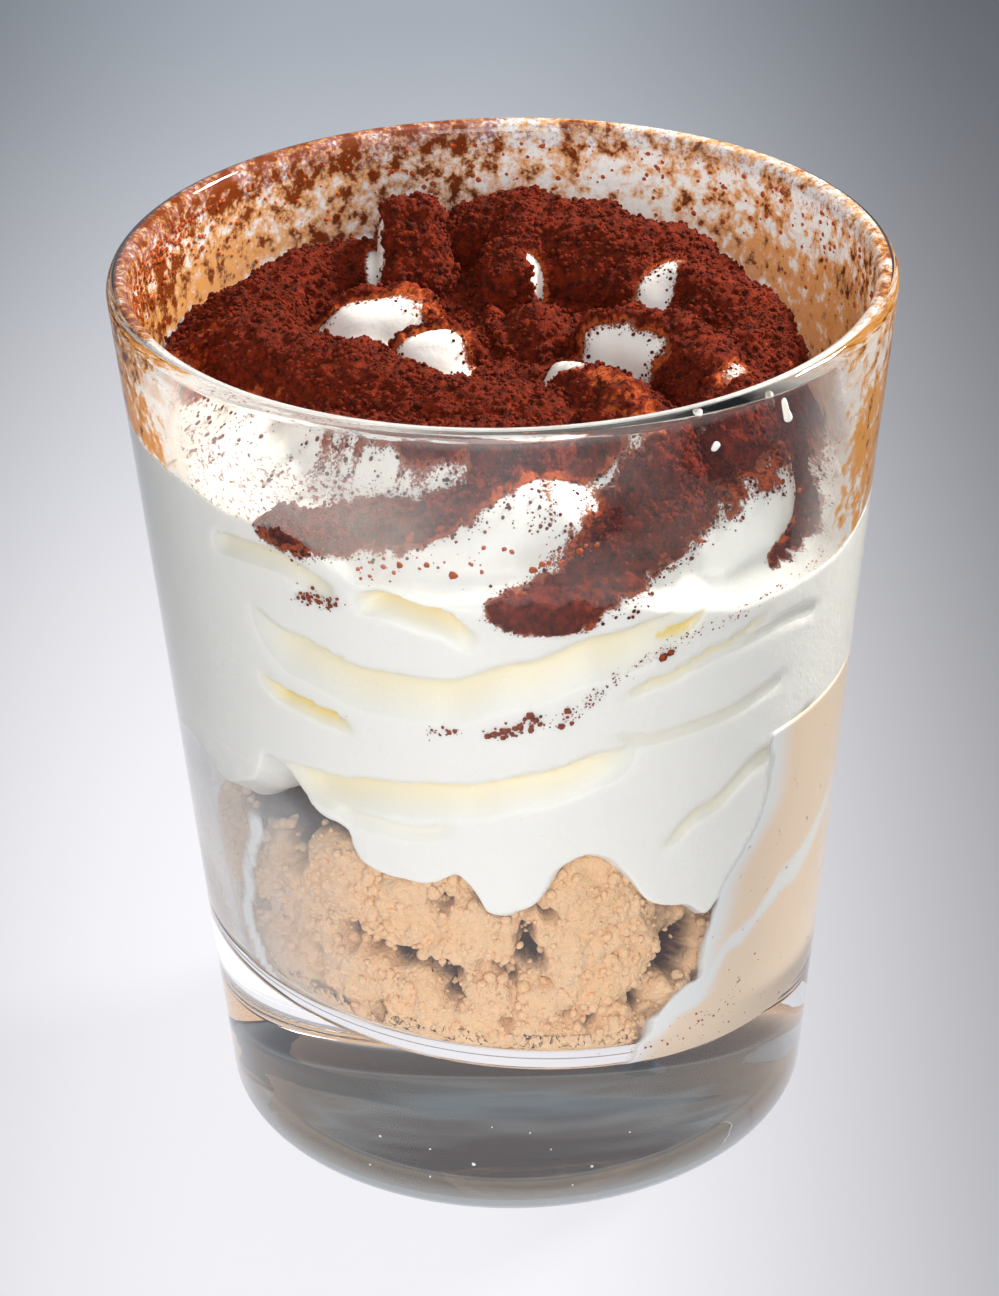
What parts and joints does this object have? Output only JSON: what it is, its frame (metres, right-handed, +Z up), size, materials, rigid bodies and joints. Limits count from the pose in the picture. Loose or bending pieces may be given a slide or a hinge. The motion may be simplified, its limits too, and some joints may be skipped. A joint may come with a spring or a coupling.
{
  "type": "tiramisu",
  "caption": "Tiramisu in a tapered heavy-based glass: biscuit crumbs under piped mascarpone cream, pressed in folds against the wall, with a thick dusting of cocoa.",
  "frame": {"origin": "centre of the glass's base, on the surface it stands on", "axes": "+Z up along the glass's axis; -Y is the side where the crumbs show best, which is seen in the picture"},
  "size_m": [0.08, 0.08, 0.0958],
  "materials": {
    "clear_glass": "gloss",
    "mascarpone_cream": "satin",
    "cocoa_powder": "matte",
    "biscuit": "matte"
  },
  "bodies": {
    "root": {"glass": "clear_glass", "cream": "mascarpone_cream", "cocoa": "cocoa_powder", "biscuit_crumbs": "biscuit"}
  },
  "joints": []
}
